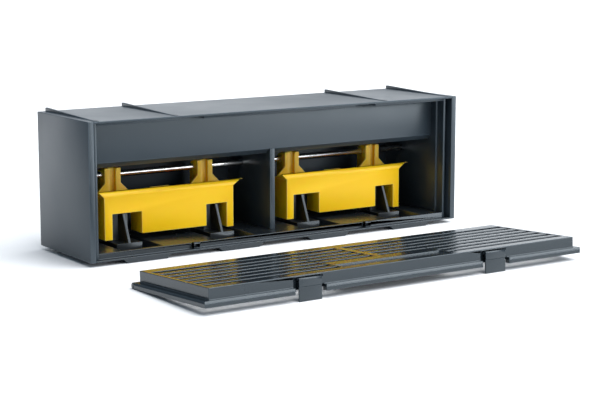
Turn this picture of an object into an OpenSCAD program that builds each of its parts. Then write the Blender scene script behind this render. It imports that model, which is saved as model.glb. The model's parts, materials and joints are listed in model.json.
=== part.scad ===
// Two-bay bait station: a low box with two hanging bait trays on one rod,
// standing with its slotted front cover taken off and laid in front.
// Origin: on the resting plane under the middle of the housing. +X runs along
// the housing, +Y to its back, +Z up.

/* [Housing] */
// Length of the housing over the end plates
housing_l = 328; // [327:1:332]
// Depth of the housing from front edge to back
housing_d = 83; // [83:1:88]
// Height from the underside of the floor to the top of the roof
housing_h = 100; // [100:0.5:102]
// Height of the runners under the floor
foot_h = 3; // [2.5:0.5:4]
// Thickness of an end plate
end_t = 4.4; // [4:0.1:4.8]
// Gap between an end plate and the inner end wall beside it
end_gap = 2.4; // [2:0.1:3]
// Thickness of the thin moulded walls
wall = 2; // [1.8:0.1:2.2]
// Thickness of the step on each inner end wall behind the cover
step_t = 1.2; // [0.8:0.1:1.4]
// Distance of that step behind the front edge
step_d = 13; // [12.6:0.1:14]
// Depth of the front rebate that takes the flange of the cover
rebate_d = 4.9; // [4.9:0.1:5.2]

/* [Floor] */
// Height of the floor surface
floor_t = 5.2; // [4.8:0.1:5.2]
// Thickness of the sill in front of the rebate and under the end gaps
sill_t = 1.2; // [1:0.1:1.2]
// Distance between neighbouring runners
runner_pitch = 79; // [77:0.5:80]
// Width of a runner where it meets the floor
runner_top_w = 38.8; // [37:0.2:40]
// Width of a runner at its foot
runner_foot_w = 32; // [30:0.5:33]
// Depth below the floor surface of the trough in each runner
trough_drop = 6.2; // [5.8:0.1:6.2]
// Front edge of the troughs
trough_d0 = 8; // [8:0.5:10]
// Back edge of the troughs
trough_d1 = 66; // [65:0.5:68]
// Width of a cover cradle on the front sill
cradle_w = 5; // [4:0.5:6]
// Outer radius of a cover cradle
cradle_r = 2.6; // [2.2:0.1:2.6]

/* [Roof and fascia] */
// Thickness of the roof plate
roof_t = 1.6; // [1.4:0.1:1.6]
// Height of the beam under the front of the roof
beam_t = 2.2; // [2:0.1:2.2]
// Width of the notch that takes a cover clip
notch_w = 19.2; // [18.6:0.2:20]
// Depth of the clip notches behind the rebate
notch_d = 17; // [17:0.5:19]
// Height of the roof ribs at the back edge
rib_h = 2.6; // [2:0.1:3]
// Width of a roof rib
rib_w = 2.4; // [2:0.1:3]
// Distance of the outer roof ribs from the end of the housing
rib_end = 7.5; // [6.5:0.5:9]
// Distance of the inner roof ribs from the middle of the housing
rib_mid = 93.5; // [88:0.5:98]
// Distance of the fascia behind the front edge
fascia_d = 19.5; // [19:0.5:20]
// Height of the lower edge of the fascia
fascia_h = 67.5; // [67:0.5:69]
// Height of the lip that slopes back under the fascia
lip_h = 3.8; // [3:0.1:4]

/* [Divider and rod] */
// Thickness of the divider between the bays
divider_t = 4.4; // [4:0.1:5]
// Distance of the divider behind the front edge
divider_d = 18.8; // [18.5:0.1:19]
// Diameter of the tray rod
rod_dia = 5; // [4.8:0.1:5]
// Distance of the rod behind the front edge
rod_d = 60; // [60:0.5:61]
// Height of the rod
rod_h = 52.5; // [52:0.5:53]
// Outer diameter of the rod collars
collar_dia = 11; // [9:0.5:12]

/* [Bait trays] */
// Distance of each tray's middle from the middle of the housing
tray_x = 79.5; // [79:0.5:80]
// Length of the tray body
tray_l = 110; // [108:1:112]
// Front face of the tray body
tray_d0 = 36; // [36:0.5:37]
// Depth of the tray body
tray_w = 18; // [17.5:0.5:19]
// Thickness of the tray walls
tray_t = 2; // [1.6:0.1:2.2]
// Height of the tray floor's underside
tray_h0 = 10; // [10:0.5:11]
// Height of the undersides of the end legs
leg_h0 = 7.4; // [7.2:0.1:8]
// Height of the top of the rim
rim_h = 44; // [43:0.5:45]
// Fall of the tray's top edge towards the back, per millimetre
rim_fall = 0.24; // [0.2:0.02:0.3]
// Reach of the flared rim beyond each end of the body
rim_out = 5.6; // [4.6:0.2:6.2]
// Reach of the flared rim in front of the body
rim_front = 1.2; // [0.8:0.2:2]
// Height over which the rim flares
rim_rise = 5; // [4.6:0.2:5.6]
// Distance of the left tunnel's outer face from the tray's middle
tunnel_left_out = 48.5; // [47:0.1:49.4]
// Distance of the left tunnel's inner face from the tray's middle
tunnel_left_in = 24.3; // [23.4:0.1:25.6]
// Distance of the right tunnel's inner face from the tray's middle
tunnel_right_in = 31.1; // [28:0.1:32]
// Distance of the right tunnel's outer face from the tray's middle
tunnel_right_out = 48.9; // [47:0.1:49.4]
// Height of the tunnel roof
tunnel_h = 26.5; // [26.4:0.1:28]
// Width of a tray post
post_w = 13.3; // [12.5:0.1:14]
// Height of the top of the tray posts
post_h = 58; // [57.5:0.5:60]
// Width of each cheek of a post
post_cheek = 4.2; // [3.6:0.2:4.6]
// Half width of the post gussets at the rim
gusset_x = 14; // [12:0.5:15]
// Height at which the post gussets start to narrow
gusset_h = 39.5; // [39:0.5:41]

/* [Stands] */
// Width of a stand's base plate
stand_w = 21; // [18:0.5:22]
// Front edge of the base plate
stand_d0 = 28; // [27:0.5:29]
// Length of the base plate
stand_l = 36; // [30:1:37]
// Height of the top of the base plate
stand_h = 5.6; // [5.2:0.1:6]
// Thickness of the base plate
stand_t = 2; // [1.6:0.1:2.4]
// Height of the top of the fin
fin_h = 26.1; // [25:0.1:26.1]
// Thickness of the fin
fin_t = 2.2; // [1.6:0.1:2.6]
// Width of the upright behind the fin
upright_w = 14; // [10:0.5:16]

/* [Cover] */
// Length of the cover's flange
flange_l = 313; // [311:1:315]
// Width of the cover's flange from clip edge to hinge edge
flange_w = 96.4; // [96:0.1:96.4]
// Thickness of the flange
flange_t = 4.4; // [4.2:0.1:4.4]
// Height of the grille face above the outer face of the flange
grille_h = 12; // [11:0.5:12]
// Length of the raised grille
grille_l = 304; // [302:1:306]
// Distance of the raised grille from the clip edge
grille_v0 = 2.6; // [2.6:0.1:3.2]
// Distance of the raised grille from the hinge edge
grille_v1 = 4; // [4:0.1:4.4]
// Thickness of the grille face
grille_t = 4; // [3:0.5:5]
// Number of slot rows
slot_rows = 7; // [5:1:7]
// Distance between slot rows
slot_pitch = 10.9; // [10:0.1:11]
// Width of a slot
slot_w = 5.4; // [4.4:0.2:6]
// Distance of the first slot row from the clip edge
slot_v0 = 13.4; // [13:0.1:15]
// Solid margin at each end of the slot rows
slot_end = 3; // [3:0.5:8]
// Width of the middle cross rib
cross_w = 6; // [4:0.5:8]
// Length of the plain plate in the middle of the clip edge
plate_l = 92; // [80:1:100]
// Width of the plain plate
plate_w = 30; // [26:0.5:34]
// Width of a cover clip
clip_w = 17.8; // [16:0.2:18]
// Distance of each clip from the middle of the cover
clip_x = 77.5; // [76:0.5:80]
// How far the clip tips stand out past the outer face of the flange
clip_out = 5; // [4:0.5:6]
// Diameter of the hinge pins
pin_dia = 2.2; // [2:0.1:2.2]
// Length of a hinge pin
pin_l = 22; // [20:1:24]
// Sideways offset of the removed cover from the middle of the housing
cover_x = -14.8; // [-20:0.2:10]
// Distance in front of the housing of the removed cover's hinge edge
cover_gap = 73.5; // [60:0.5:120]

/* [Hidden] */
$fn = 48;
// Running clearance of a pin or rod in its hole, on the radius
fit = 0.05;
// Overshoot that makes a cut pass clean through a face
over = 1;
// Faces across the housing, outermost to innermost
in_x = housing_l / 2 - end_t;
wall_x = in_x - end_gap;
bay_x = wall_x - wall;
// Inner face of the back panel
back_in = housing_d - wall;
roof_h = housing_h - roof_t;
beam_h = roof_h - beam_t;
tray_d1 = tray_d0 + tray_w;
// Outer radius of the eyes that snap over the rod, and how far each jaw closes over it
eye_r = 4.6;
snap = 0.4;
// Distance of each post from its tray's middle
post_x = runner_pitch / 2;
tunnels = [[-tunnel_left_out, -tunnel_left_in], [tunnel_right_in, tunnel_right_out]];
runner_xs = [-1.5 * runner_pitch, -0.5 * runner_pitch, 0.5 * runner_pitch, 1.5 * runner_pitch];
// Hinge axis of the cover in the cover's own measure: v from the clip edge,
// w up from the outer face of the flange
hinge_v = flange_w - flange_t / 2;
hinge_w = flange_t / 2;
clip_v0 = 0.4;
clip_v1 = 2.1;
clip_step_w = 4.6;
clip_step = 0.4;
clip_top_w = 10.4;
clip_gap = 3;
clip_play = 0.4;
wall_cut_top = clip_top_w + clip_play;
// Tilt of the laid cover, whose clip tips and hinge edge both touch the ground
tip_v = hinge_v - clip_v1;
tip_w = clip_out + hinge_w;
cover_tilt = atan(tip_w / tip_v) - asin(hinge_w / sqrt(tip_v * tip_v + tip_w * tip_w));
// Place of the hinge axis when the cover is closed
cover_play = 0.2;
closed_pin_h = housing_h - 2 - hinge_v;
closed_pin_d = cover_play + hinge_w;

housing_color = [0.20, 0.23, 0.25];
floor_color = [0.16, 0.18, 0.20];
cover_color = [0.24, 0.27, 0.29];
tray_color = [0.90, 0.74, 0.03];
steel_color = [0.80, 0.81, 0.82];

// A block between two faces on each axis: x, depth d from the front edge of the
// housing and height h above the underside of its floor
module slab(x0, x1, d0, d1, h0, h1) {
    translate([x0, d0 - housing_d / 2, h0 + foot_h])
        cube([x1 - x0, d1 - d0, h1 - h0]);
}

// Children drawn in (d, h) and run through the housing from x0 to x1
module along_x(x0, x1) {
    translate([x0, -housing_d / 2, foot_h])
        rotate([90, 0, 90])
            linear_extrude(x1 - x0)
                children();
}

// Children drawn in (x, h) and run from depth d0 to depth d1
module along_d(d0, d1) {
    translate([0, d1 - housing_d / 2, foot_h])
        rotate([90, 0, 0])
            linear_extrude(d1 - d0)
                children();
}

// A round bar or bore along x at depth d and height h
module bar(x0, x1, d, h, r) {
    translate([x0, d - housing_d / 2, h + foot_h])
        rotate([0, 90, 0])
            cylinder(h = x1 - x0, r = r);
}

module rod_bore(x0, x1) {
    bar(x0 - over, x1 + over, rod_d, rod_h, rod_dia / 2 + fit);
}

// ---- housing ----

module runner_profile(x) {
    top = runner_top_w / 2;
    foot = runner_foot_w / 2;
    skin = floor_t - wall;
    polygon([
        [x - foot, -foot_h], [x + foot, -foot_h], [x + top, 0],
        [x + top, skin], [x - top, skin], [x - top, 0]
    ]);
}

module trough_profile(x) {
    top = runner_top_w / 2 - wall;
    foot = runner_foot_w / 2 - wall;
    polygon([
        [x - foot, floor_t - trough_drop], [x + foot, floor_t - trough_drop],
        [x + top, floor_t + over], [x - top, floor_t + over]
    ]);
}

// An open-fronted hook on the sill that takes a hinge pin of the cover
module cradle(x) {
    x0 = x - cradle_w / 2;
    x1 = x + cradle_w / 2;
    throat = pin_dia / 2 + 0.15;
    slope_room = 0.25;
    difference() {
        union() {
            bar(x0, x1, closed_pin_d, closed_pin_h, cradle_r);
            slab(x0, x1, closed_pin_d - cradle_r / 2, rebate_d + wall / 2, sill_t / 2, closed_pin_h);
        }
        bar(x0 - over, x1 + over, closed_pin_d, closed_pin_h, throat);
        slab(x0 - over, x1 + over, -over, closed_pin_d,
             closed_pin_h - throat - slope_room, closed_pin_h + throat);
    }
}

module floor_pan() {
    color(floor_color) {
        difference() {
            union() {
                slab(-bay_x, bay_x, rebate_d, back_in, floor_t - wall, floor_t);
                slab(-bay_x, bay_x, rebate_d, rebate_d + wall, 0, floor_t);
                slab(-bay_x, bay_x, back_in - wall, back_in, 0, floor_t);
                slab(-in_x, in_x, 0, rebate_d + wall, 0, sill_t);
                for (s = [-1, 1]) {
                    slab(min(s * (bay_x - wall), s * in_x), max(s * (bay_x - wall), s * in_x),
                         rebate_d, back_in, 0, sill_t);
                    slab(min(s * (bay_x - wall), s * bay_x), max(s * (bay_x - wall), s * bay_x),
                         rebate_d, back_in, 0, floor_t);
                }
                for (x = runner_xs)
                    along_d(0, back_in)
                        runner_profile(x);
                slab(-15, 15, 26, 57, -foot_h, floor_t - wall);
            }
            for (x = runner_xs)
                along_d(trough_d0, trough_d1)
                    trough_profile(x);
            for (x = runner_xs)
                slab(x - runner_top_w, x + runner_top_w, -over, rebate_d, sill_t, floor_t + over);
        }
        for (x = [-clip_x, clip_x])
            cradle(x);
    }
}

module back_panel() {
    color(housing_color)
        slab(-in_x, in_x, back_in, housing_d, 0, roof_h);
}

module roof_rib(x) {
    translate([x - rib_w / 2, -housing_d / 2, housing_h + foot_h])
        rotate([90, 0, 90])
            linear_extrude(rib_w)
                polygon([[0, -roof_t / 2], [housing_d, -roof_t / 2], [housing_d, rib_h], [0, 0.1]]);
}

module roof_panel() {
    color(housing_color) {
        slab(-in_x, in_x, 0, housing_d, roof_h, housing_h);
        difference() {
            slab(-bay_x, bay_x, rebate_d, fascia_d + wall, beam_h, roof_h);
            for (x = [-clip_x, clip_x])
                slab(x - notch_w / 2, x + notch_w / 2, rebate_d - over, rebate_d + notch_d,
                     beam_h - over, roof_h);
        }
        for (s = [-1, 1]) {
            roof_rib(s * (housing_l / 2 - rib_end));
            roof_rib(s * rib_mid);
        }
    }
}

module end_plate(s) {
    color(housing_color)
        slab(min(s * in_x, s * housing_l / 2), max(s * in_x, s * housing_l / 2),
             0, housing_d, 0, housing_h);
}

module inner_wall(s) {
    x0 = min(s * bay_x, s * wall_x);
    x1 = max(s * bay_x, s * wall_x);
    step_x = s * (bay_x - step_t);
    color(housing_color)
        difference() {
            union() {
                slab(x0, x1, rebate_d, back_in, sill_t, roof_h);
                slab(min(x0, step_x), max(x1, step_x), step_d, back_in, floor_t, beam_h);
            }
            rod_bore(x0 - step_t, x1 + step_t);
        }
}

module lip_profile() {
    far = fascia_d + lip_h;
    low = fascia_h - lip_h;
    polygon([[fascia_d, fascia_h], [far, low], [far + wall, low], [fascia_d + wall, fascia_h + wall / 2]]);
}

module fascia() {
    half = bay_x - step_t;
    color(housing_color) {
        slab(-half, half, fascia_d, fascia_d + wall, fascia_h, beam_h);
        along_x(-half, half)
            lip_profile();
    }
}

module divider() {
    half = divider_t / 2;
    color(housing_color)
        difference() {
            slab(-half, half, divider_d, back_in, floor_t, roof_h);
            slab(-divider_t, divider_t, 0, fascia_d + wall, fascia_h, roof_h + over);
            along_x(-divider_t, divider_t)
                lip_profile();
            rod_bore(-half, half);
        }
}

// ---- rod ----

module tray_rod() {
    end_play = 0.4;
    color(steel_color)
        bar(-in_x + end_play, in_x - end_play, rod_d, rod_h, rod_dia / 2);
}

module rod_collar(s) {
    x0 = min(s * wall_x, s * in_x);
    x1 = max(s * wall_x, s * in_x);
    color(floor_color)
        difference() {
            bar(x0, x1, rod_d, rod_h, collar_dia / 2);
            rod_bore(x0, x1);
        }
}

// ---- stands ----

module stand(x) {
    half = stand_w / 2;
    d1 = stand_d0 + stand_l;
    skirt_h = floor_t - trough_drop;
    upright_d = stand_d0 + 16;
    translate([x, 0, 0])
        color(floor_color) {
            slab(-half, half, stand_d0, d1, stand_h - stand_t, stand_h);
            for (s = [-1, 1])
                slab(min(s * half, s * (half - stand_t)), max(s * half, s * (half - stand_t)),
                     stand_d0, d1, skirt_h, stand_h - stand_t);
            slab(-half, half, stand_d0, stand_d0 + stand_t, skirt_h, stand_h - stand_t);
            along_x(-fin_t / 2, fin_t / 2)
                polygon([
                    [stand_d0, stand_h], [stand_d0 + 9, fin_h], [upright_d, fin_h],
                    [d1 - 8, stand_h]
                ]);
            slab(-upright_w / 2, upright_w / 2, upright_d, upright_d + stand_t, stand_h, fin_h);
        }
}

// ---- bait trays ----

// A block that widens towards its top at the front and both ends
module flare(half, d0, d1, h0, h1) {
    skin = 0.01;
    hull() {
        slab(-half, half, d0, d1, h0, h0 + skin);
        slab(-half - rim_out, half + rim_out, d0 - rim_front, d1, h1 - skin, h1);
    }
}

// All that stands above the tray's sloping top edge
module above_rim() {
    far = tray_l;
    lip_d = tray_d0 - rim_front;
    along_x(-far, far)
        polygon([
            [lip_d - over, rim_h + rim_fall * over],
            [tray_d1 + over, rim_h - rim_fall * (tray_d1 + over - lip_d)],
            [tray_d1 + over, rim_h + rim_rise], [lip_d - over, rim_h + rim_rise]
        ]);
}

module tray_outside() {
    half = tray_l / 2;
    slab(-half, half, tray_d0, tray_d1, tray_h0, rim_h - rim_rise);
    flare(half, tray_d0, tray_d1, rim_h - rim_rise, rim_h);
    slab(-half, -tunnel_left_out, tray_d0, tray_d1, leg_h0, tray_h0 + over);
    slab(tunnel_right_out, half, tray_d0, tray_d1, leg_h0, tray_h0 + over);
}

module tray_hollow() {
    half = tray_l / 2 - tray_t;
    d0 = tray_d0 + tray_t;
    d1 = tray_d1 - tray_t;
    difference() {
        union() {
            slab(-half, half, d0, d1, tray_h0 + tray_t, rim_h - rim_rise + over);
            flare(half, d0, d1, rim_h - rim_rise + over, rim_h + over);
        }
        for (t = tunnels)
            slab(t[0] - tray_t, t[1] + tray_t, tray_d0, tray_d1, tray_h0, tunnel_h + tray_t);
    }
}

// Half of a post: a cheek that hooks over the rod, with its gusset
module post_side(s) {
    outer = post_w / 2;
    inner = outer - post_cheek;
    front = tray_d1 - tray_t;
    root_h = tunnel_h + tray_t / 2;
    along_x(min(s * inner, s * outer), max(s * inner, s * outer))
        difference() {
            union() {
                translate([front, root_h])
                    square([rod_d + eye_r - front, rod_h - root_h]);
                translate([front, rod_h - over])
                    square([rod_d - over - front, post_h - rod_h + over]);
                translate([rod_d, rod_h])
                    circle(r = eye_r);
            }
            translate([rod_d, rod_h])
                circle(r = rod_dia / 2 + fit);
            translate([rod_d, rod_h - rod_dia / 2 + snap])
                square([2 * eye_r, rod_dia - 2 * snap]);
        }
    along_d(front, front + tray_t)
        polygon([
            [s * inner, root_h], [s * gusset_x, root_h], [s * gusset_x, gusset_h],
            [s * outer, gusset_h + gusset_x - outer], [s * inner, gusset_h + gusset_x - outer]
        ]);
}

module post(x) {
    web_t = 1.6;
    web_d = rod_d - rod_dia / 2 - web_t - 0.3;
    web_x = (post_w - post_cheek) / 2;
    translate([x, 0, 0]) {
        for (s = [-1, 1])
            post_side(s);
        slab(-web_x, web_x, web_d, web_d + web_t, tunnel_h + tray_t / 2, post_h);
    }
}

module bait_tray(middle) {
    tab_x = 8;
    tab_h = 41.2;
    translate([middle, 0, 0])
        color(tray_color) {
            difference() {
                tray_outside();
                tray_hollow();
                above_rim();
                for (t = tunnels)
                    slab(t[0], t[1], tray_d0 - over, tray_d1 + over, leg_h0 - over, tunnel_h);
            }
            for (x = [-post_x, post_x])
                post(x);
            slab(-tab_x, tab_x, tray_d1 - tray_t, tray_d1, rim_h - 2 * rim_rise, tab_h);
        }
}

// ---- cover, drawn in (u, v, w) and laid on the ground in front of the housing ----

module laid() {
    translate([cover_x, -housing_d / 2 - cover_gap - hinge_w, hinge_w])
        rotate([-cover_tilt, 0, 0])
            translate([0, -hinge_v, -hinge_w])
                children();
}

module block(u0, u1, v0, v1, w0, w1) {
    translate([u0, v0, w0])
        cube([u1 - u0, v1 - v0, w1 - w0]);
}

module along_u(u0, u1, v, w, r) {
    translate([u0, v, w])
        rotate([0, 90, 0])
            cylinder(h = u1 - u0, r = r);
}

module cover_shell() {
    half = flange_l / 2;
    raised = grille_l / 2;
    v1 = flange_w - grille_v1;
    difference() {
        union() {
            block(-half, half, 0, hinge_v, 0, flange_t);
            along_u(-half, half, hinge_v, hinge_w, hinge_w);
            block(-raised, raised, grille_v0, v1, flange_t / 2, grille_h);
        }
        block(-raised + wall, raised - wall, grille_v0 + wall, v1 - wall, -over, grille_h - grille_t);
    }
}

module slot_cuts() {
    u1 = grille_l / 2 - slot_end;
    for (row = [0 : slot_rows - 1]) {
        v = slot_v0 + row * slot_pitch;
        u0 = v < plate_w ? plate_l / 2 : cross_w / 2;
        for (s = [-1, 1])
            block(min(s * u0, s * u1), max(s * u0, s * u1), v - slot_w / 2, v + slot_w / 2,
                  0, grille_h + over);
    }
}

// Room for a clip in the flange and in the wall above it
module clip_cut(u) {
    half = clip_w / 2;
    wall_v1 = grille_v0 + wall;
    block(u - half - clip_gap, u + half + clip_gap, -over, wall_v1, -over, flange_t + clip_play / 2);
    block(u - half - clip_gap, u + half + clip_play, -over, wall_v1, flange_t, wall_cut_top);
}

// The wall behind a clip, which closes its room off from the inside of the cover
module clip_back(u) {
    half = clip_w / 2 + clip_gap + wall;
    block(u - half, u + half, grille_v0 + wall, grille_v0 + 2 * wall, flange_t / 2, grille_h - grille_t);
}

module cover_grille() {
    dip_v0 = 6;
    dip_v1 = 21;
    dip_x = plate_l / 2 - 2;
    pin_room = pin_l / 2 + 0.3;
    notch = cradle_w / 2 + 1;
    color(cover_color)
        laid()
            difference() {
                union() {
                    cover_shell();
                    block(-cross_w / 4, cross_w / 4, grille_v0 + wall, flange_w - grille_v1 - wall,
                          flange_t, grille_h - grille_t);
                    for (u = [-clip_x, clip_x])
                        clip_back(u);
                }
                slot_cuts();
                block(-dip_x, dip_x, dip_v0, dip_v1, grille_h - 1, grille_h + over);
                for (u = [-clip_x, clip_x]) {
                    clip_cut(u);
                    along_u(u - pin_room, u + pin_room, hinge_v, hinge_w, pin_dia / 2 + fit);
                    block(u - notch, u + notch, hinge_v - 3, flange_w + over, -over, flange_t + over);
                }
            }
}

module cover_clip(s) {
    half = clip_w / 2;
    u = s * clip_x;
    root_v = grille_v0 + wall - clip_play;
    root_w = clip_top_w - 1.6;
    color(cover_color)
        laid()
            translate([u, 0, 0]) {
                block(-half, half, clip_v0 + clip_step, clip_v1, -clip_out, clip_step_w);
                block(-half, half, clip_v0, clip_v1, clip_step_w, clip_top_w - 1);
                block(-half, half, clip_v0 + 1, root_v, root_w, clip_top_w);
                along_u(-half, half, clip_v0 + 1, clip_top_w - 1, 1);
            }
}

module cover_pins() {
    color(steel_color)
        laid()
            for (u = [-clip_x, clip_x])
                along_u(u - pin_l / 2, u + pin_l / 2, hinge_v, hinge_w, pin_dia / 2);
}

floor_pan();
back_panel();
roof_panel();
end_plate(-1);  // end_plate_left
end_plate(1);  // end_plate_right
inner_wall(-1);  // inner_wall_left
inner_wall(1);  // inner_wall_right
fascia();
divider();
tray_rod();
rod_collar(-1);  // rod_collar_left
rod_collar(1);  // rod_collar_right
stand(runner_xs[0]);  // stand_1
stand(runner_xs[1]);  // stand_2
stand(runner_xs[2]);  // stand_3
stand(runner_xs[3]);  // stand_4
bait_tray(-tray_x);  // bait_tray_left
bait_tray(tray_x);  // bait_tray_right
cover_grille();
cover_clip(-1);  // cover_clip_left
cover_clip(1);  // cover_clip_right
cover_pins();
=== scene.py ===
"""Looks of a two-bay bait station.

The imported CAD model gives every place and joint. Each moulding is redrawn from its CAD node with
rounded edges, the slotted cover is built bar by bar, and each finish is a procedural material.
"""

import json
import logging
import math
from dataclasses import dataclass
from enum import Enum

import bmesh
import bpy
from mathutils import Matrix, Vector


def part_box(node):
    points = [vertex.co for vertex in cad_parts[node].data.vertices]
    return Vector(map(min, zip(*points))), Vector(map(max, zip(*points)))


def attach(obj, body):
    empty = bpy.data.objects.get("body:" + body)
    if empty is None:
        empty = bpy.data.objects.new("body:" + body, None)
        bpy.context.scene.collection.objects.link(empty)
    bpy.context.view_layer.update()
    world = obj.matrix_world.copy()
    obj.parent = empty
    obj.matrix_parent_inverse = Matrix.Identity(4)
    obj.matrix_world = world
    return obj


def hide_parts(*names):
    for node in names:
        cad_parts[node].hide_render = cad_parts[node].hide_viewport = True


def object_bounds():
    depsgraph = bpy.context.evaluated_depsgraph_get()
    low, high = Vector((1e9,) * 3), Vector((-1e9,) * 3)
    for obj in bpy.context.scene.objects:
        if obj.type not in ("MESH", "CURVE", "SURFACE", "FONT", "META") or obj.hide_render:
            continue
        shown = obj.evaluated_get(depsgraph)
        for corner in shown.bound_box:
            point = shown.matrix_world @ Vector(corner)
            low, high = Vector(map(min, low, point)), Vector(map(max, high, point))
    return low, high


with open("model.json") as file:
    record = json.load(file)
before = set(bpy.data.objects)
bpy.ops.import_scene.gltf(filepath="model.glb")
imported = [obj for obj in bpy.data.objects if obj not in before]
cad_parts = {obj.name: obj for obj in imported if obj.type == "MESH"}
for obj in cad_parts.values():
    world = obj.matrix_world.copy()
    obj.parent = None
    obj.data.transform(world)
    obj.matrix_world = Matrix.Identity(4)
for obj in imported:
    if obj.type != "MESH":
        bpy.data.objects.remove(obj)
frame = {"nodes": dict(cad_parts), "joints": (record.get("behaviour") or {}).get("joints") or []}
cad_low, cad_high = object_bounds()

logging.basicConfig(level=logging.INFO, format="%(message)s")
log = logging.getLogger("bait_station")

MM = 0.001
# Points of a CAD mesh that are closer than this are one point.
MERGE_MM = 0.002
# Faces that meet at less than FLAT_DEG are one flat face. Edges sharper than SHARP_DEG are rounded.
FLAT_DEG = 0.6
SHARP_DEG = 32
# Most values of a noise pattern lie between these.
NOISE_LOW, NOISE_HIGH = 0.3, 0.7
# Sockets of a Mix node that blends two colours: how far, from, to and the result.
BLEND, COLOUR_A, COLOUR_B, BLENDED = 0, 6, 7, 2


class Slot(Enum):
    """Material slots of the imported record."""

    HOUSING = "housing_plastic"
    FLOOR = "floor_plastic"
    COVER = "cover_plastic"
    STAND = "stand_plastic"
    TRAY = "tray_plastic"
    ROD = "rod_steel"


class Body(Enum):
    """Bodies that pieces ride on."""

    HOUSING = "housing"
    TRAY_LEFT = "tray_left"
    TRAY_RIGHT = "tray_right"
    PINS = "hinge_pins"
    COVER = "cover"
    CLIP_LEFT = "clip_left"
    CLIP_RIGHT = "clip_right"


# ---------------------------------------------------------------- node and mesh helpers


def srgb(code: str) -> tuple[float, float, float, float]:
    """Turn an sRGB hex colour into a linear one.

    Args:
        code: Six hex digits, such as "3a4248".

    Returns:
        Linear red, green, blue and an alpha of 1.
    """
    channels = [int(code[i:i + 2], 16) / 255 for i in (0, 2, 4)]
    linear = [c / 12.92 if c <= 0.04045 else ((c + 0.055) / 1.055) ** 2.4 for c in channels]
    return (linear[0], linear[1], linear[2], 1.0)


def add_node(tree: bpy.types.NodeTree, kind: str, inputs: dict | None = None, **settings) -> bpy.types.Node:
    """Add a node with its settings, its socket values and its links.

    Args:
        tree: The tree that gets the node.
        kind: Blender's identifier of the node.
        inputs: Socket name or index to a value, or to the output socket that feeds it.
        **settings: Properties of the node itself.

    Returns:
        The new node.
    """
    made = tree.nodes.new(kind)
    for key, value in settings.items():
        setattr(made, key, value)
    for key, value in (inputs or {}).items():
        if isinstance(value, bpy.types.NodeSocket):
            tree.links.new(value, made.inputs[key])
        else:
            made.inputs[key].default_value = value
    return made


def new_object(name: str, mesh: bpy.types.Mesh) -> bpy.types.Object:
    """Link a mesh into the scene as an object at the origin.

    Args:
        name: Name of the object.
        mesh: Its mesh, in the shared frame.

    Returns:
        The object.
    """
    made = bpy.data.objects.new(name, mesh)
    bpy.context.scene.collection.objects.link(made)
    return made


def mesh_from(name: str, bm: bmesh.types.BMesh) -> bpy.types.Mesh:
    """Turn a bmesh into a mesh and free it.

    Args:
        name: Name of the mesh.
        bm: The bmesh, which can't be used afterwards.

    Returns:
        The mesh.
    """
    mesh = bpy.data.meshes.new(name)
    bm.to_mesh(mesh)
    bm.free()
    return mesh


def settle(piece: bpy.types.Object) -> bpy.types.Object:
    """Turn a piece and its modifiers into a plain mesh.

    Args:
        piece: An object at the origin whose modifiers are final.

    Returns:
        The same object, with no modifiers left.
    """
    graph = bpy.context.evaluated_depsgraph_get()
    plain = bpy.data.meshes.new_from_object(piece.evaluated_get(graph), depsgraph=graph)
    plain.name = piece.name
    piece.modifiers.clear()
    piece.data = plain
    return piece


def round_edges(piece: bpy.types.Object, radius_mm: float, segments: int = 2) -> bpy.types.Object:
    """Round every sharp edge of a moulding and put the edge finish on the rounds.

    Args:
        piece: A closed mesh with its face finish first and its edge finish second.
        radius_mm: Radius of the rounds.
        segments: Number of facets across a round.

    Returns:
        The piece with its rounds made real.
    """
    bevel = piece.modifiers.new("edge_round", "BEVEL")
    bevel.width = radius_mm * MM
    bevel.segments = segments
    bevel.limit_method = "ANGLE"
    bevel.angle_limit = math.radians(SHARP_DEG)
    bevel.use_clamp_overlap = False
    bevel.harden_normals = True
    bevel.material = 1
    for face in piece.data.polygons:
        face.use_smooth = True
    return settle(piece)


def cad_copy(node: str) -> bpy.types.Mesh:
    """Copy a CAD node's mesh and join its loose triangles into clean flat faces.

    Args:
        node: Name of the CAD node.

    Returns:
        A mesh in the shared frame.
    """
    bm = bmesh.new()
    bm.from_mesh(frame["nodes"][node].data)
    bmesh.ops.remove_doubles(bm, verts=bm.verts, dist=MERGE_MM * MM)
    bmesh.ops.dissolve_limit(bm, angle_limit=math.radians(FLAT_DEG), verts=bm.verts, edges=bm.edges)
    return mesh_from(node, bm)


@dataclass(frozen=True)
class Block:
    """A box between two values on each axis, in millimetres."""

    x: tuple[float, float]
    y: tuple[float, float]
    z: tuple[float, float]

    def holds(self, point: tuple[float, float, float]) -> bool:
        """Tell whether a point is inside."""
        spans = (self.x, self.y, self.z)
        return all(low < value < high for value, (low, high) in zip(point, spans))


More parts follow.
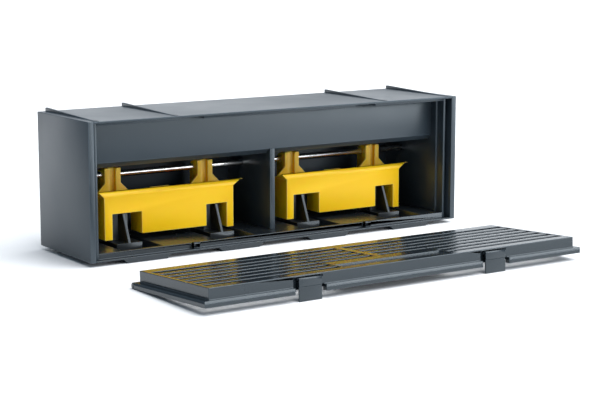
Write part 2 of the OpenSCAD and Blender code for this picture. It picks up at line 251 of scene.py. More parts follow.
def block_solid(solid: list[Block], cuts: list[Block]) -> bmesh.types.BMesh:
    """Build the closed surface of some blocks with other blocks cut out of them.

    Args:
        solid: Blocks that are joined.
        cuts: Blocks that are taken away.

    Returns:
        A bmesh in metres whose faces point outwards.
    """
    lines = []
    for axis in ("x", "y", "z"):
        low = min(getattr(b, axis)[0] for b in solid)
        high = max(getattr(b, axis)[1] for b in solid)
        every = {v for b in solid + cuts for v in getattr(b, axis)}
        lines.append(sorted(v for v in every if low <= v <= high))
    counts = [len(line) - 1 for line in lines]

    def filled(cell: tuple[int, int, int]) -> bool:
        """Tell whether a cell is solid.

        Args:
            cell: Number of the cell along each axis.

        Returns:
            True inside a block and outside every cut.
        """
        if any(i < 0 or i >= n for i, n in zip(cell, counts)):
            return False
        middle = tuple((line[i] + line[i + 1]) / 2 for i, line in zip(cell, lines))
        return any(b.holds(middle) for b in solid) and not any(b.holds(middle) for b in cuts)

    bm = bmesh.new()
    corners = {}

    def corner(key: tuple[int, int, int]) -> bmesh.types.BMVert:
        """Return the point where three lines cross, made when it is first asked for."""
        if key not in corners:
            corners[key] = bm.verts.new([lines[a][key[a]] * MM for a in range(3)])
        return corners[key]

    for i in range(counts[0]):
        for j in range(counts[1]):
            for k in range(counts[2]):
                if not filled((i, j, k)):
                    continue
                for axis in range(3):
                    for side in (0, 1):
                        beside = [i, j, k]
                        beside[axis] += 1 if side else -1
                        if filled(tuple(beside)):
                            continue
                        across, up = (axis + 1) % 3, (axis + 2) % 3
                        ring = []
                        for da, du in ((0, 0), (1, 0), (1, 1), (0, 1)):
                            key = [i, j, k]
                            key[axis] += side
                            key[across] += da
                            key[up] += du
                            ring.append(corner(tuple(key)))
                        bm.faces.new(ring if side else ring[::-1])
    return bm


def add_bar(bm: bmesh.types.BMesh, start: Vector, end: Vector, radius: float, chamfer: float,
            sides: int = 40) -> None:
    """Add a round bar with chamfered ends.

    Args:
        bm: The bmesh that gets the bar.
        start: Middle of one end, in metres.
        end: Middle of the other end.
        radius: Radius of the bar.
        chamfer: Size of the chamfer at each end.
        sides: Number of facets round the bar.
    """
    along = (end - start).normalized()
    side = along.orthogonal().normalized()
    up = along.cross(side)
    length = (end - start).length
    stations = (
        (0, radius - chamfer), (chamfer, radius), (length - chamfer, radius), (length, radius - chamfer))
    rings = []
    for distance, reach in stations:
        middle = start + along * distance
        angles = [2 * math.pi * n / sides for n in range(sides)]
        spokes = [side * math.cos(a) + up * math.sin(a) for a in angles]
        rings.append([bm.verts.new(middle + spoke * reach) for spoke in spokes])
    for ring, following in zip(rings, rings[1:]):
        for n in range(sides):
            after = (n + 1) % sides
            bm.faces.new((ring[n], ring[after], following[after], following[n]))
    bm.faces.new(rings[0][::-1])
    bm.faces.new(rings[-1])


# ---------------------------------------------------------------- finishes


@dataclass(frozen=True)
class MouldedPlastic:
    """Injection-moulded plastic with a faint spark-eroded grain.

    The grain breaks up reflections, slow waves in the surface show where walls shrank as they
    cooled, and light scuffs show that it has been handled.
    """

    # sRGB colours of the surface, of the slow clouds in it and of its edges and rub marks
    name: str
    face: str
    cloud: str
    edge: str
    roughness: tuple[float, float]
    # Grain and waves. The grain is coarser than a real eroded one, so that it shows
    grain_mm: float = 0.7
    grain_depth_mm: float = 0.004
    wave_mm: float = 42.0
    wave_depth_mm: float = 0.05
    # Strength of the rub marks, the noise values they start and are full at, how many fit in a metre
    # on each axis (about 11 mm long and 2 to 4 mm across) and how much they dull the surface
    scuff: float = 0.05
    scuff_span: tuple[float, float] = (0.6, 0.78)
    scuffs_per_m: tuple[float, float, float] = (90.0, 420.0, 260.0)
    scuff_dulling: float = 0.5
    ior: float = 1.54
    gloss_tint: tuple[float, float, float, float] = (0.86, 0.95, 1.0, 1.0)
    scatter: float = 0.0
    scatter_mm: tuple[float, float, float] = (1.0, 1.0, 1.0)

    def build(self, on_edge: bool = False) -> bpy.types.Material:
        """Make the material for the faces or for the rounded edges.

        Args:
            on_edge: True for the slightly paler finish of an edge.

        Returns:
            The node material.
        """
        material = bpy.data.materials.new(self.name + ("_edge" if on_edge else ""))
        material.use_nodes = True
        tree = material.node_tree
        tree.nodes.clear()
        place = add_node(tree, "ShaderNodeTexCoord").outputs["Object"]
        cloud = add_node(tree, "ShaderNodeTexNoise", {
            "Vector": place, "Scale": 1 / (self.wave_mm * MM), "Detail": 4.0, "Roughness": 0.55})
        scuffs = self._scuffs(tree, place)
        first = self.edge if on_edge else self.face
        tone = add_node(tree, "ShaderNodeMix", {
            BLEND: cloud.outputs["Fac"], COLOUR_A: srgb(first), COLOUR_B: srgb(self.cloud)},
            data_type="RGBA")
        worn = add_node(tree, "ShaderNodeMix", {
            BLEND: scuffs, COLOUR_A: tone.outputs[BLENDED], COLOUR_B: srgb(self.edge)}, data_type="RGBA")
        low, high = self.roughness
        gloss = add_node(tree, "ShaderNodeMapRange", {
            "Value": cloud.outputs["Fac"], "From Min": NOISE_LOW, "From Max": NOISE_HIGH,
            "To Min": low, "To Max": high})
        rubbed = add_node(tree, "ShaderNodeMath", {0: scuffs, 1: self.scuff_dulling, 2: gloss.outputs[0]},
                          operation="MULTIPLY_ADD")
        shader = add_node(tree, "ShaderNodeBsdfPrincipled", {
            "Base Color": worn.outputs[BLENDED], "Roughness": rubbed.outputs[0], "IOR": self.ior,
            "Specular Tint": self.gloss_tint, "Normal": self._relief(tree, place, cloud.outputs["Fac"])})
        if self.scatter:
            shader.inputs["Subsurface Weight"].default_value = self.scatter
            shader.inputs["Subsurface Radius"].default_value = self.scatter_mm
            shader.inputs["Subsurface Scale"].default_value = MM
        add_node(tree, "ShaderNodeOutputMaterial", {"Surface": shader.outputs["BSDF"]})
        return material

    def _scuffs(self, tree: bpy.types.NodeTree, place: bpy.types.NodeSocket) -> bpy.types.NodeSocket:
        """Make sparse short rub marks.

        Args:
            tree: The material's tree.
            place: Object coordinates.

        Returns:
            The strength of the marks, 0 where there are none.
        """
        start, full = self.scuff_span
        stretched = add_node(tree, "ShaderNodeMapping", {"Vector": place, "Scale": self.scuffs_per_m})
        rub = add_node(tree, "ShaderNodeTexNoise", {
            "Vector": stretched.outputs[0], "Scale": 1.0, "Detail": 5.0, "Roughness": 0.7})
        marks = add_node(tree, "ShaderNodeMapRange", {
            "Value": rub.outputs["Fac"], "From Min": start, "From Max": full,
            "To Min": 0.0, "To Max": self.scuff})
        return marks.outputs[0]

    def _relief(self, tree: bpy.types.NodeTree, place: bpy.types.NodeSocket,
                cloud: bpy.types.NodeSocket) -> bpy.types.NodeSocket:
        """Make the grain and the slow waves of the surface.

        Args:
            tree: The material's tree.
            place: Object coordinates.
            cloud: The slow noise that the waves follow.

        Returns:
            The normal of the surface.
        """
        grain = add_node(tree, "ShaderNodeTexNoise", {
            "Vector": place, "Scale": 1 / (self.grain_mm * MM), "Detail": 2.0, "Roughness": 0.5})
        waves = add_node(tree, "ShaderNodeBump", {
            "Height": cloud, "Distance": self.wave_depth_mm * MM, "Strength": 1.0})
        fine = add_node(tree, "ShaderNodeBump", {
            "Height": grain.outputs["Fac"], "Distance": self.grain_depth_mm * MM, "Strength": 1.0,
            "Normal": waves.outputs[0]})
        return fine.outputs[0]


@dataclass(frozen=True)
class DrawnSteel:
    """Bright drawn steel rod, with fine draw lines along its length that stretch its highlights."""

    name: str
    tint: str
    dull: str
    roughness: tuple[float, float]
    # Draw lines, coarser than real ones so that they show
    line_mm: float = 0.25
    line_depth_mm: float = 0.004
    line_stretch: float = 60.0

    def build(self) -> bpy.types.Material:
        """Make the material.

        Returns:
            The node material.
        """
        material = bpy.data.materials.new(self.name)
        material.use_nodes = True
        tree = material.node_tree
        tree.nodes.clear()
        place = add_node(tree, "ShaderNodeTexCoord").outputs["Object"]
        across = 1 / (self.line_mm * MM)
        drawn = add_node(tree, "ShaderNodeMapping", {
            "Vector": place, "Scale": (across / self.line_stretch, across, across)})
        lines = add_node(tree, "ShaderNodeTexNoise", {
            "Vector": drawn.outputs[0], "Scale": 1.0, "Detail": 3.0, "Roughness": 0.6})
        tone = add_node(tree, "ShaderNodeMix", {
            BLEND: lines.outputs["Fac"], COLOUR_A: srgb(self.tint), COLOUR_B: srgb(self.dull)},
            data_type="RGBA")
        low, high = self.roughness
        gloss = add_node(tree, "ShaderNodeMapRange", {
            "Value": lines.outputs["Fac"], "From Min": NOISE_LOW, "From Max": NOISE_HIGH,
            "To Min": low, "To Max": high})
        bump = add_node(tree, "ShaderNodeBump", {
            "Height": lines.outputs["Fac"], "Distance": self.line_depth_mm * MM, "Strength": 1.0})
        shader = add_node(tree, "ShaderNodeBsdfPrincipled", {
            "Base Color": tone.outputs[BLENDED], "Metallic": 1.0, "Roughness": gloss.outputs[0],
            "Normal": bump.outputs[0]})
        add_node(tree, "ShaderNodeOutputMaterial", {"Surface": shader.outputs["BSDF"]})
        return material


# Moulded ABS in anthracite: dark, with a soft satin shine that runs over long flat walls.
HOUSING_ABS = MouldedPlastic("anthracite_abs", "232b31", "293239", "3f4a52", (0.30, 0.36))
# The same ABS from a smoother tool, so that the floor mirrors the yellow trays a little.
FLOOR_ABS = MouldedPlastic("anthracite_abs_floor", "161b1f", "1c2126", "2f373d", (0.24, 0.32))
# The same ABS from a polished tool: the cover is the glossiest moulding.
COVER_ABS = MouldedPlastic("anthracite_abs_cover", "191f23", "1e252a", "353e44", (0.15, 0.21))
# Black moulded ABS, seen mostly as thin pale edges.
STAND_ABS = MouldedPlastic("black_abs", "101214", "15181a", "272b2d", (0.28, 0.36))
# Yellow moulded polypropylene: soft shine, and light that seeps through thin walls and warms them. Its pale
# edge colour is also put on the rim top as a painted glow.
TRAY_PP = MouldedPlastic(
    "yellow_polypropylene", "ecc000", "e6b400", "f6de80", (0.36, 0.44), grain_depth_mm=0.003,
    scuff=0.02, ior=1.40, gloss_tint=(1.0, 1.0, 1.0, 1.0), scatter=0.35, scatter_mm=(3.2, 1.3, 0.2))
# Drawn steel: one bright streak along the rod.
ROD_STEEL = DrawnSteel("drawn_steel", "f6f6f4", "dededb", (0.20, 0.28))


class Finishes:
    """The materials that the pieces share, each made once."""

    def __init__(self) -> None:
        """Start with no material made."""
        self._made: dict[str, bpy.types.Material] = {}

    def pair(self, finish: MouldedPlastic) -> list[bpy.types.Material]:
        """Make a plastic's materials when they are first asked for.

        Args:
            finish: The plastic.

        Returns:
            Its face and its edge material.
        """
        if finish.name not in self._made:
            self._made[finish.name] = finish.build()
            self._made[finish.name + "_edge"] = finish.build(on_edge=True)
        return [self._made[finish.name], self._made[finish.name + "_edge"]]

    def metal(self, finish: DrawnSteel) -> list[bpy.types.Material]:
        """Make a metal's material when it is first asked for.

        Args:
            finish: The metal.

        Returns:
            A list with its one material.
        """
        if finish.name not in self._made:
            self._made[finish.name] = finish.build()
        return [self._made[finish.name]]


def dress(piece: bpy.types.Object, materials: list[bpy.types.Material]) -> None:
    """Give a piece its materials.

    Args:
        piece: The piece.
        materials: Its materials, first to last.
    """
    piece.data.materials.clear()
    for material in materials:
        piece.data.materials.append(material)


def enter(piece: bpy.types.Object, body: Body, slot: Slot, *nodes: str) -> bpy.types.Object:
    """Put a finished piece on its body and hide the CAD nodes that it stands for.

    Args:
        piece: The piece, a plain mesh at the origin.
        body: The body that it rides on.
        slot: Not used.
        *nodes: CAD nodes that it stands for.

    Returns:
        The piece.
    """
    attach(piece, body.value)
    if nodes:
        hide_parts(*nodes)
    log.info("%s on %s: %d faces", piece.name, body.value, len(piece.data.polygons))
    return piece


def moulding(node: str, name: str, finish: MouldedPlastic, finishes: Finishes, body: Body, slot: Slot,
             radius_mm: float) -> bpy.types.Object:
    """Redraw a CAD node as a moulding with rounded edges.

    Args:
        node: The CAD node.
        name: Name of the new piece.
        finish: Its plastic.
        finishes: The shared materials.
        body: The body that it rides on.
        slot: Its material slot.
        radius_mm: Radius of its edges.

    Returns:
        The piece, in place of the node.
    """
    piece = new_object(name, cad_copy(node))
    dress(piece, finishes.pair(finish))
    round_edges(piece, radius_mm)
    return enter(piece, body, slot, node)


# ---------------------------------------------------------------- Geometry Nodes


class NodeRecipe:
    """A Geometry Nodes tree with named inputs, run once to give a plain mesh."""

    def __init__(self, name: str, inputs: dict[str, float | int]) -> None:
        """Make the tree with its inputs.

        Args:
            name: Name of the tree.
            inputs: Each input's name and value. A whole number makes an integer input.
        """
        self.tree = bpy.data.node_groups.new(name, "GeometryNodeTree")
        self.values = inputs
        self.keys = {}
        for key, value in inputs.items():
            kind = "NodeSocketInt" if isinstance(value, int) else "NodeSocketFloat"
            socket = self.tree.interface.new_socket(name=key, in_out="INPUT", socket_type=kind)
            self.keys[key] = socket.identifier
        self.tree.interface.new_socket(name="Geometry", in_out="OUTPUT", socket_type="NodeSocketGeometry")
        self.given = self.tree.nodes.new("NodeGroupInput").outputs

    def math(self, operation: str, first: object, second: object) -> bpy.types.NodeSocket:
        """Return the result of a sum on two values or sockets."""
        return add_node(self.tree, "ShaderNodeMath", {0: first, 1: second}, operation=operation).outputs[0]

    def vector(self, x: object = 0.0, y: object = 0.0, z: object = 0.0) -> bpy.types.NodeSocket:
        """Return a vector made of three values or sockets."""
        return add_node(self.tree, "ShaderNodeCombineXYZ", {0: x, 1: y, 2: z}).outputs[0]

    def instances(self, points: bpy.types.NodeSocket, shape: bpy.types.NodeSocket) -> bpy.types.NodeSocket:
        """Put a shape on every point."""
        return add_node(self.tree, "GeometryNodeInstanceOnPoints",
                        {"Points": points, "Instance": shape}).outputs[0]

    def run(self, name: str, parts: list[bpy.types.NodeSocket], material: bpy.types.Material,
            place: Matrix) -> bpy.types.Object:
        """Finish the tree, run it and keep the result as a plain mesh.

        Args:
            name: Name of the piece.
            parts: Geometry sockets that are joined.
            material: Material of the piece.
            place: Turns and moves the mesh into the shared frame.

        Returns:
            The piece.
        """
        join = self.tree.nodes.new("GeometryNodeJoinGeometry")
        for part in reversed(parts):
            self.tree.links.new(part, join.inputs[0])
        real = add_node(self.tree, "GeometryNodeRealizeInstances", {0: join.outputs[0]})
        painted = add_node(self.tree, "GeometryNodeSetMaterial", {
            "Geometry": real.outputs[0], "Material": material})
        add_node(self.tree, "NodeGroupOutput", {0: painted.outputs[0]})
        piece = new_object(name, bpy.data.meshes.new(name))
        modifier = piece.modifiers.new(name, "NODES")
        modifier.node_group = self.tree
        for key, value in self.values.items():
            modifier[self.keys[key]] = value
        settle(piece)
        piece.data.transform(place)
        return piece


# ---------------------------------------------------------------- sub-assemblies


@dataclass
class Housing:
    """The box: floor, roof, walls, fascia and divider."""

    finishes: Finishes
    edge_mm: float = 0.35
    mark_count: int = 2
    mark_sides: int = 28
    mark_radius_mm: float = 1.7
    mark_height_mm: float = 0.06
    mark_pitch_mm: float = 19.7
    mark_shift_mm: float = 3.0
    mark_rise_mm: float = 11.3

    def build(self) -> None:
        """Build every moulding of the box and the marks on it."""
        plain = ("back_panel", "roof_panel", "end_plate_left", "end_plate_right",
                 "inner_wall_left", "inner_wall_right", "fascia", "divider")
        for node in plain:
            moulding(node, node + "_shell", HOUSING_ABS, self.finishes, Body.HOUSING, Slot.HOUSING,
                     self.edge_mm)
        moulding("floor_pan", "floor_pan_shell", FLOOR_ABS, self.finishes, Body.HOUSING, Slot.FLOOR,
                 self.edge_mm)
        self.ejector_marks()

    def ejector_marks(self) -> bpy.types.Object:
        """Add the round marks that ejector pins leave on the fascia.

        Returns:
            The marks as one piece.
        """
        low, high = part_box("fascia")
        recipe = NodeRecipe("ejector_mark_row", {
            "Count": self.mark_count, "Sides": self.mark_sides, "Pitch": self.mark_pitch_mm * MM,
            "Radius": self.mark_radius_mm * MM, "Height": 2 * self.mark_height_mm * MM})
        step = recipe.vector(x=recipe.given["Pitch"])
        row = add_node(recipe.tree, "GeometryNodeMeshLine", {"Count": recipe.given["Count"], "Offset": step})
        disc = add_node(recipe.tree, "GeometryNodeMeshCylinder", {
            "Vertices": recipe.given["Sides"], "Radius": recipe.given["Radius"],
            "Depth": recipe.given["Height"]})
        first = (low.x + high.x) / 2 + (self.mark_shift_mm - self.mark_pitch_mm / 2) * MM
        rise = low.z + self.mark_rise_mm * MM
        place = Matrix.Translation((first, low.y, rise)) @ Matrix.Rotation(math.pi / 2, 4, "X")
        piece = recipe.run("fascia_ejector_marks", [recipe.instances(row.outputs[0], disc.outputs[0])],
                           self.finishes.pair(HOUSING_ABS)[0], place)
        return enter(piece, Body.HOUSING, Slot.HOUSING)


@dataclass
class RodSet:
    """The rod that the trays hang on, and its collars."""

    finishes: Finishes
    chamfer_mm: float = 0.5
    collar_edge_mm: float = 0.4

    def build(self) -> None:
        """Build the rod and both collars."""
        low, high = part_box("tray_rod")
        middle = (low + high) / 2
        bm = bmesh.new()
        start, end = Vector((low.x, middle.y, middle.z)), Vector((high.x, middle.y, middle.z))
        add_bar(bm, start, end, (high.z - low.z) / 2, self.chamfer_mm * MM)
        rod = new_object("polished_rod", mesh_from("polished_rod", bm))
        dress(rod, self.finishes.metal(ROD_STEEL))
        for face in rod.data.polygons:
            face.use_smooth = len(face.vertices) == 4
        enter(rod, Body.HOUSING, Slot.ROD, "tray_rod")
        for node in ("rod_collar_left", "rod_collar_right"):
            moulding(node, node + "_ring", STAND_ABS, self.finishes, Body.HOUSING, Slot.STAND,
                     self.collar_edge_mm)


@dataclass
class TrayStands:
    """The four black stands that the trays rest on."""

    finishes: Finishes
    edge_mm: float = 0.3

    def build(self) -> None:
        """Build every stand."""
        for node in sorted(n for n in frame["nodes"] if n.startswith("stand_")):
            moulding(node, "tray_" + node, STAND_ABS, self.finishes, Body.HOUSING, Slot.STAND, self.edge_mm)


@dataclass
class BaitTrays:
    """The two yellow bait trays."""

    finishes: Finishes
    edge_mm: float = 0.45
    # Upward share of the normal of the sloping rim top, which no other face of the tray has. The rim top
    # gets the pale edge colour as a painted glow of light shining through the thin rim
    painted_glow_rim_slope: tuple[float, float] = (0.95, 0.99)

    def build(self) -> None:
        """Build both trays."""
        self.tub("left", Body.TRAY_LEFT)
        self.tub("right", Body.TRAY_RIGHT)

    def tub(self, side: str, body: Body) -> bpy.types.Object:
        """Build one tray, with a painted glow on top of its rim: the pale edge material stands in for light
        shining through the thin rim.

        Args:
            side: "left" or "right".
            body: The body that the tray rides on.

        Returns:
            The piece that stands for the CAD tray.
        """
        node = f"bait_tray_{side}"
        piece = new_object(f"tray_tub_{side}", cad_copy(node))
        dress(piece, self.finishes.pair(TRAY_PP))
        # painted glow: faces of the rim top get the pale edge material, in place of light shining through
        # the thin rim
        low, high = self.painted_glow_rim_slope
        for face in piece.data.polygons:
            if low < face.normal.z < high:
                face.material_index = 1
        round_edges(piece, self.edge_mm)
        return enter(piece, body, Slot.TRAY, node)


@dataclass
class SlottedCover:
    """The removed cover: flange, raised walls, slats, clips and hinge pins.

    Sizes are in millimetres in the cover's own measure: u along it, v from its clip edge, w up
    from the outer face of its flange.
    """

    finishes: Finishes
    # Half length, far edge and thickness of the flange, and the line of the hinge in v and w
    flange: tuple[float, float, float] = (156.5, 94.2, 4.4)
    hinge: tuple[float, float] = (94.2, 2.2)
    bead_chamfer: float = 0.3
    # Half length and near and far faces of the raised part, its height and its thicknesses
    raised_u: float = 152.0
    raised_v: tuple[float, float] = (2.6, 92.4)
    top: float = 12.0
    skin: float = 4.0
    wall: float = 2.0
    # Slot rows: spacing, first row, width of a slot and the outer ends of the rows
    rows: int = 7
    rows_by_plate: int = 2
    pitch: float = 10.9
    first_row: float = 13.4
    slot: float = 5.4
    slot_end: float = 149.0
    # Half widths of the strip between the two halves, of the rib under it and of the plain plate
    cross_u: float = 3.0
    rib_u: float = 1.5
    plate_u: float = 46.0
    # Half length, near face, far face and depth of the recess in the plate
    recess: tuple[float, float, float] = (44.0, 6.0, 21.0)
    recess_depth: float = 1.0
    # Middle of each clip, the room on its left and right, and what stands above that room
    clip_u: float = 77.5
    clip_room: tuple[float, float] = (11.9, 9.3)
    clip_head: float = 1.2
    # Half width and reach of the notches for the hooks
    notch_u: float = 3.5
    notch_v: float = 3.0
    # Overshoot that takes a cut clean through a face
    past: float = 1.0
    # How far the slats lie below the border, run into it, and how their edges are rounded
    sunk: float = 0.15
    overlap: float = 0.6
    edge_mm: float = 0.4
    round_facets: int = 3
    pin_chamfer: float = 0.2
    pin_sides: int = 24

    def place(self) -> Matrix:
        """Find where the laid cover is, from its hinge.

        Returns:
            The matrix from the cover's measure, in metres, to the shared frame.
        """
        joint = next(j for j in frame["joints"] if j["name"] == "cover_hinge")
        tilt = math.radians(90 - joint["range_deg"][1])
        v, w = self.hinge
        return (Matrix.Translation(joint["pos_m"]) @ Matrix.Rotation(-tilt, 4, "X")
                @ Matrix.Translation((0, -v * MM, -w * MM)))

    def build(self) -> None:
        """Build the cover, its slats, clips and pins."""
        self.shell()
        self.slats()
        for side, body in (("left", Body.CLIP_LEFT), ("right", Body.CLIP_RIGHT)):
            moulding(f"cover_clip_{side}", f"spring_clip_{side}", COVER_ABS, self.finishes, body, Slot.COVER,
                     self.edge_mm)
        self.pins()

    def windows(self) -> list[Block]:
        """Lay out the openings that the slats stand in.

        Returns:
            One opening beside the plate and one behind it, on each half.
        """
        through = (self.skin, self.top + self.past)
        near = self.first_row - self.slot / 2
        far = self.first_row + (self.rows - 1) * self.pitch + self.slot / 2
        past_plate = near + self.rows_by_plate * self.pitch
        made = []
        for side in (-1, 1):
            outer = sorted((side * self.plate_u, side * self.slot_end))
            inner = sorted((side * self.cross_u, side * self.plate_u))
            made.append(Block(tuple(outer), (near, far), through))
            made.append(Block(tuple(inner), (past_plate, far), through))
        return made

    def shell(self) -> bpy.types.Object:
        """Build the flange, the walls, the border, the middle plate, the rib and the hinge bead.

        Returns:
            The piece that stands for the CAD cover.
        """
        u, v, w = self.flange
        near, far = self.raised_v
        under = self.top - self.skin
        solid = [
            Block((-u, u), (0, v), (0, w)),
            Block((-self.raised_u, self.raised_u), self.raised_v, (w / 2, self.top)),
        ]
        hollow = Block((self.wall - self.raised_u, self.raised_u - self.wall),
                       (near + self.wall, far - self.wall), (-self.past, under))
        across, dip_near, dip_far = self.recess
        dip = (self.top - self.recess_depth, self.top + self.past)
        cuts = [hollow, Block((-across, across), (dip_near, dip_far), dip)]
        cuts += self.windows()
        wide, tight = self.clip_room
        pocket = (-self.past, near + self.wall)
        notch = (v - self.notch_v, v + self.notch_v)
        for middle in (-self.clip_u, self.clip_u):
            cuts.append(Block((middle - wide, middle + wide), pocket, (-self.past, w)))
            cuts.append(Block((middle - wide, middle + tight), pocket, (w, self.top - self.clip_head)))
            cuts.append(Block((middle - self.notch_u, middle + self.notch_u), notch,
                              (-self.past, w + self.past)))
        bm = block_solid(solid, cuts)
        inner = [Block((-self.rib_u, self.rib_u), (near + self.wall, far - self.wall), (w, under))]
        for middle in (-self.clip_u, self.clip_u):
            reach = wide + self.wall
            inner.append(Block((middle - reach, middle + reach), (near + self.wall, near + 2 * self.wall),
                               (w / 2, under)))
        for block in inner:
            spare = mesh_from("inner_wall", block_solid([block], []))
            bm.from_mesh(spare)
            bpy.data.meshes.remove(spare)
        piece = new_object("cover_shell", mesh_from("cover_shell", bm))
        dress(piece, self.finishes.pair(COVER_ABS))
        round_edges(piece, self.edge_mm)
        piece.data.transform(self.place())
        self.hinge_bead()
        return enter(piece, Body.COVER, Slot.COVER, "cover_grille")

    def hinge_bead(self) -> bpy.types.Object:
        """Build the round bead along the hinge edge, open where the hooks go.

        Returns:
            The bead as one piece.
        """
        v, w = self.hinge
        ends = (-self.flange[0], -self.clip_u - self.notch_u, -self.clip_u + self.notch_u,
                self.clip_u - self.notch_u, self.clip_u + self.notch_u, self.flange[0])
        bm = bmesh.new()
        for start, end in zip(ends[::2], ends[1::2]):
            left, right = Vector((start, v, w)) * MM, Vector((end, v, w)) * MM
            add_bar(bm, left, right, w * MM, self.bead_chamfer * MM)
        piece = new_object("cover_hinge_bead", mesh_from("cover_hinge_bead", bm))
        dress(piece, self.finishes.pair(COVER_ABS))
        for face in piece.data.polygons:
            face.use_smooth = len(face.vertices) == 4
        piece.data.transform(self.place())
        return enter(piece, Body.COVER, Slot.COVER)

    def slats(self) -> bpy.types.Object:
        """Build the rows of slats with Geometry Nodes.

        Returns:
            The slats as one piece.
        """
        outer = self.slot_end - self.plate_u + 2 * self.overlap
        recipe = NodeRecipe("cover_slats", {
            "Rows": self.rows - 1, "Pitch": self.pitch * MM, "Slat width": (self.pitch - self.slot) * MM,
            "Slat height": (self.skin - self.sunk) * MM, "Round": self.edge_mm * MM,
            "Outer length": outer * MM, "Outer middle": (self.plate_u + self.slot_end) / 2 * MM,
            "Inner length": 2 * (self.plate_u + self.overlap) * MM,
            "Rows beside the plate": self.rows_by_plate, "Round facets": self.round_facets})
        given = recipe.given
        profile = add_node(recipe.tree, "GeometryNodeCurvePrimitiveQuadrilateral", {
            "Width": given["Slat width"], "Height": given["Slat height"]})
        rounded = add_node(recipe.tree, "GeometryNodeFilletCurve", {
            "Curve": profile.outputs[0], "Radius": given["Round"], "Count": given["Round facets"]},
            mode="POLY")
        step = recipe.vector(y=given["Pitch"])
        parts = []
        inner_rows = recipe.math("SUBTRACT", given["Rows"], given["Rows beside the plate"])
        inner_start = recipe.math("MULTIPLY", given["Pitch"], given["Rows beside the plate"])
        runs = (
            (given["Outer length"], recipe.vector(x=given["Outer middle"]), given["Rows"]),
            (given["Outer length"], recipe.vector(x=recipe.math("MULTIPLY", given["Outer middle"], -1.0)),
             given["Rows"]),
            (given["Inner length"], recipe.vector(y=inner_start), inner_rows),
        )
        for length, start, count in runs:
            half = recipe.math("MULTIPLY", length, 0.5)
            path = add_node(recipe.tree, "GeometryNodeCurvePrimitiveLine", {
                "Start": recipe.vector(x=recipe.math("MULTIPLY", half, -1.0)), "End": recipe.vector(x=half)})
            slat = add_node(recipe.tree, "GeometryNodeCurveToMesh", {
                "Curve": path.outputs[0], "Profile Curve": rounded.outputs[0], "Fill Caps": True})
            line = add_node(recipe.tree, "GeometryNodeMeshLine", {
                "Count": count, "Start Location": start, "Offset": step})
            parts.append(recipe.instances(line.outputs[0], slat.outputs[0]))
        first = Matrix.Translation(Vector((
            0, self.first_row + self.pitch / 2, self.top - self.skin / 2 - self.sunk / 2)) * MM)
        piece = recipe.run("cover_slats", parts, self.finishes.pair(COVER_ABS)[0], self.place() @ first)
        return enter(piece, Body.COVER, Slot.COVER)

    def pins(self) -> bpy.types.Object:
        """Build the two hinge pins.

        Returns:
            Both pins as one piece.
        """
        low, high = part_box("cover_pins")
        radius = (high.z - low.z) / 2
        middle = (low + high) / 2
        length = (high.x - low.x) - 2 * self.clip_u * MM
        bm = bmesh.new()
        for side in (-1, 1):
            centre = Vector((middle.x + side * self.clip_u * MM, middle.y, middle.z))
            reach = Vector((length / 2, 0, 0))
            add_bar(bm, centre - reach, centre + reach, radius, self.pin_chamfer * MM, sides=self.pin_sides)
        piece = new_object("hinge_pin_pair", mesh_from("hinge_pin_pair", bm))
        dress(piece, self.finishes.metal(ROD_STEEL))
        for face in piece.data.polygons:
            face.use_smooth = len(face.vertices) == 4
        return enter(piece, Body.PINS, Slot.ROD, "cover_pins")


# ---------------------------------------------------------------- studio


@dataclass(frozen=True)
class SoftLight:
    """A large soft light aimed at the object."""

    name: str
    azimuth: float
    elevation: float
    distance: float
    size: tuple[float, float]
    radiance: float
    tint: str = "ffffff"

    def build(self, target: Vector) -> None:
        """Place the light and aim it.

        Args:
            target: What the light shines at.
        """
        data = bpy.data.lights.new(self.name, "AREA")
        data.shape = "RECTANGLE"
        data.size, data.size_y = self.size
        data.energy = self.radiance * math.pi * self.size[0] * self.size[1]
        data.color = srgb(self.tint)[:3]
        lamp = bpy.data.objects.new(self.name, data)
        bpy.context.scene.collection.objects.link(lamp)
        out = outward(self.azimuth, self.elevation)
        lamp.location = target + out * self.distance
        lamp.rotation_euler = (-out).to_track_quat("-Z", "Y").to_euler()


def outward(azimuth: float, elevation: float) -> Vector:
    """Return the direction from the object towards a viewer.

    Args:
        azimuth: Degrees round the object, 0 in front of it.
        elevation: Degrees above the horizon.

    Returns:
        A unit vector.
    """
    a, e = math.radians(azimuth), math.radians(elevation)
    return Vector((math.sin(a) * math.cos(e), -math.cos(a) * math.cos(e), math.sin(e)))


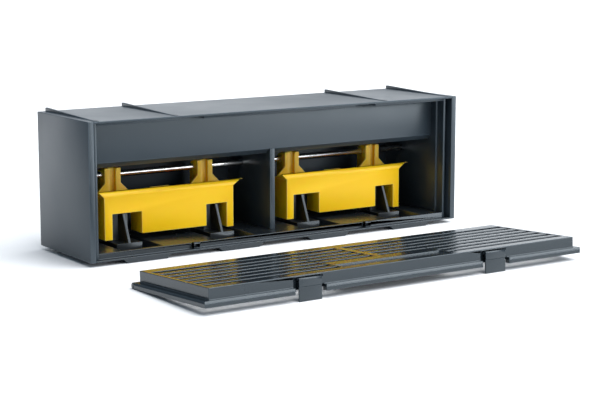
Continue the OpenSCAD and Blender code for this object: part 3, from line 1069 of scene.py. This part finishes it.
@dataclass
class Studio:
    """Pale floor, soft light and the camera."""

    azimuth: float = -33.85
    elevation: float = 9.45
    distance: float = 1.1676
    lens_mm: float = 96.05
    sensor_mm: float = 36.0
    aim_shift_mm: tuple[float, float, float] = (-10.45, 3.5, -12.6)
    floor_size: float = 30.0
    floor_drop_mm: float = 0.05
    floor_cells: int = 8
    mottles_per_m: float = 30.0
    world_strength: float = 0.34
    sky_strength: float = 4.4
    sky_spread: float = 70.0
    sky_from: tuple[float, float] = (40.0, 62.0)
    lights: tuple[SoftLight, ...] = (
        SoftLight("low_strip", azimuth=20.0, elevation=9.0, distance=1.8, size=(2.2, 0.3), radiance=6.0),
        SoftLight("front_softbox", azimuth=34.0, elevation=24.0, distance=1.8, size=(1.5, 1.1), radiance=1.6,
                  tint="e9f2ff"),
        SoftLight("back_softbox", azimuth=146.0, elevation=14.0, distance=2.2, size=(3.4, 1.1),
                  radiance=0.95),
    )

    def build(self) -> None:
        """Build everything round the object."""
        middle = (cad_low + cad_high) / 2
        self.camera(middle + Vector(self.aim_shift_mm) * MM)
        for light in self.lights:
            light.build(middle)
        self.sky()
        self.floor()
        self.world()
        bpy.context.scene.view_settings.view_transform = "Standard"

    def camera(self, aim: Vector) -> None:
        """Set up the camera.

        Args:
            aim: The point at the middle of its picture.
        """
        data = bpy.data.cameras.new("camera")
        data.lens = self.lens_mm
        data.sensor_width = self.sensor_mm
        eye = bpy.data.objects.new("camera", data)
        bpy.context.scene.collection.objects.link(eye)
        out = outward(self.azimuth, self.elevation)
        eye.location = aim + out * self.distance
        eye.rotation_euler = (-out).to_track_quat("-Z", "Y").to_euler()
        bpy.context.scene.camera = eye

    def sky(self) -> None:
        """Light the whole floor evenly and softly from above."""
        data = bpy.data.lights.new("overhead_sky", "SUN")
        data.energy = self.sky_strength
        data.angle = math.radians(self.sky_spread)
        lamp = bpy.data.objects.new("overhead_sky", data)
        bpy.context.scene.collection.objects.link(lamp)
        lamp.rotation_euler = (-outward(*self.sky_from)).to_track_quat("-Z", "Y").to_euler()

    def floor(self) -> None:
        """Lay the pale floor."""
        bm = bmesh.new()
        cells = self.floor_cells
        bmesh.ops.create_grid(bm, x_segments=cells, y_segments=cells, size=self.floor_size / 2)
        bmesh.ops.translate(bm, verts=bm.verts, vec=(0, 0, cad_low.z - self.floor_drop_mm * MM))
        floor = new_object("floor", mesh_from("floor", bm))
        material = bpy.data.materials.new("matt_white_board")
        material.use_nodes = True
        tree = material.node_tree
        tree.nodes.clear()
        place = add_node(tree, "ShaderNodeTexCoord").outputs["Object"]
        mottle = add_node(tree, "ShaderNodeTexNoise", {
            "Vector": place, "Scale": self.mottles_per_m, "Detail": 3.0})
        tone = add_node(tree, "ShaderNodeMix", {
            BLEND: mottle.outputs["Fac"], COLOUR_A: srgb("f6f6f6"), COLOUR_B: srgb("f1f2f3")},
            data_type="RGBA")
        shader = add_node(tree, "ShaderNodeBsdfPrincipled", {
            "Base Color": tone.outputs[BLENDED], "Roughness": 0.6})
        add_node(tree, "ShaderNodeOutputMaterial", {"Surface": shader.outputs["BSDF"]})
        dress(floor, [material])

    def world(self) -> None:
        """Fill the studio with even, faintly blue light."""
        world = bpy.data.worlds.new("studio")
        world.use_nodes = True
        tree = world.node_tree
        tree.nodes.clear()
        sky = add_node(tree, "ShaderNodeBackground", {
            "Color": srgb("c3dcf5"), "Strength": self.world_strength})
        add_node(tree, "ShaderNodeOutputWorld", {"Surface": sky.outputs[0]})
        bpy.context.scene.world = world


def main() -> None:
    """Build the object, then the studio."""
    finishes = Finishes()
    Studio().build()
    for part in (Housing(finishes), RodSet(finishes), TrayStands(finishes), BaitTrays(finishes),
                 SlottedCover(finishes)):
        log.info("building %s", type(part).__name__)
        part.build()


if __name__ == "__main__":
    main()
